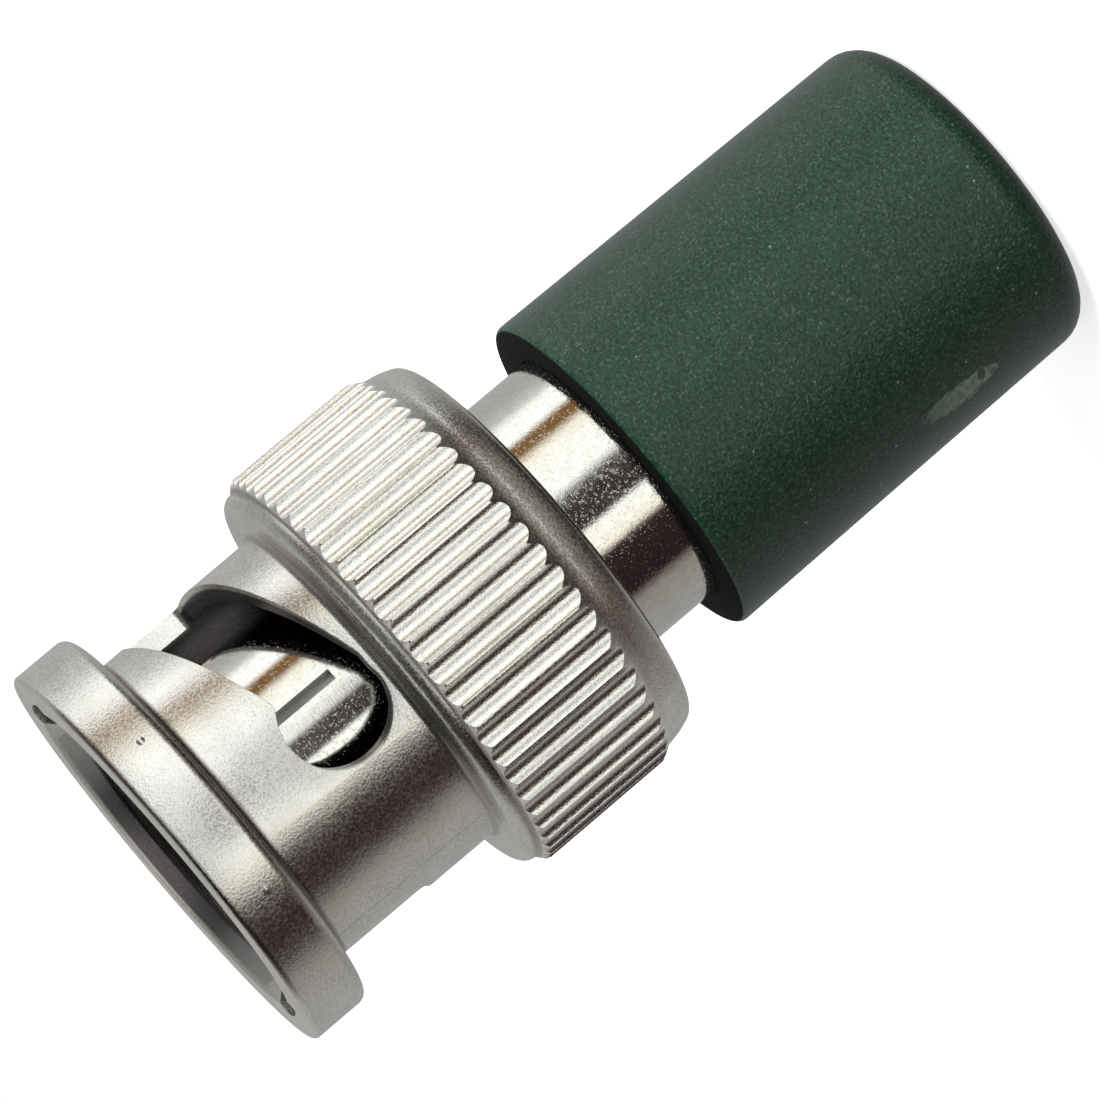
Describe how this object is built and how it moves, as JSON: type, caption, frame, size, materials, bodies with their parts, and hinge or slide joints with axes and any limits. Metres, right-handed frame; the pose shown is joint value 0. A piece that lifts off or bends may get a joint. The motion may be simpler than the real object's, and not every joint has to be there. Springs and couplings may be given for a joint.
{
  "type": "bnc connector",
  "caption": "Coaxial bayonet plug with a knurled, slotted metal coupling sleeve, a slotted contact and centre pin, closed behind by a plain moulded plastic cap.",
  "frame": {"origin": "centre of the cap's flat closed end, on the plug's axis", "axes": "+Z along the axis from the cap to the mating face; +X through a lead-in groove of the bayonet within a degree; -Y through a detent"},
  "size_m": [0.0144, 0.0144, 0.0316],
  "materials": {
    "cap_plastic": "matte",
    "bright_nickel": "gloss",
    "satin_nickel": "satin",
    "insulator": "satin",
    "gold_plate": "gloss",
    "solder": "satin",
    "tinned_wire": "satin",
    "resistor_coating": "gloss",
    "brass_disc": "satin",
    "seal_rubber": "matte",
    "spring_steel": "satin"
  },
  "bodies": {
    "plug": {"cap": "cap_plastic", "rear_barrel": "bright_nickel", "plug_body": "bright_nickel", "outer_contact": "bright_nickel", "front_insulator": "insulator", "rear_insulator": "insulator", "centre_pin": "gold_plate", "front_solder": "solder", "front_lead": "tinned_wire", "resistor_body": "resistor_coating", "rear_lead": "tinned_wire", "rear_solder": "solder", "ground_disc": "brass_disc", "gasket": "seal_rubber", "wave_washer": "spring_steel", "rear_washer": "spring_steel"},
    "push_washer": {"thrust_washer": "spring_steel"},
    "sleeve": {"coupling_sleeve": "satin_nickel"}
  },
  "joints": [
    {"name": "coupling_push", "type": "slide", "parent": "plug", "child": "push_washer", "axis": [0, 0, 1], "range_m": [0, 0.0005], "stiffness_N_per_m": 1500, "springref_m": -0.001, "deforming": ["wave_washer"]},
    {"name": "coupling_turn", "type": "hinge", "parent": "push_washer", "child": "sleeve", "pos_m": [0, 0, 0.0181], "axis": [0, 0, 1], "continuous": true}
  ]
}
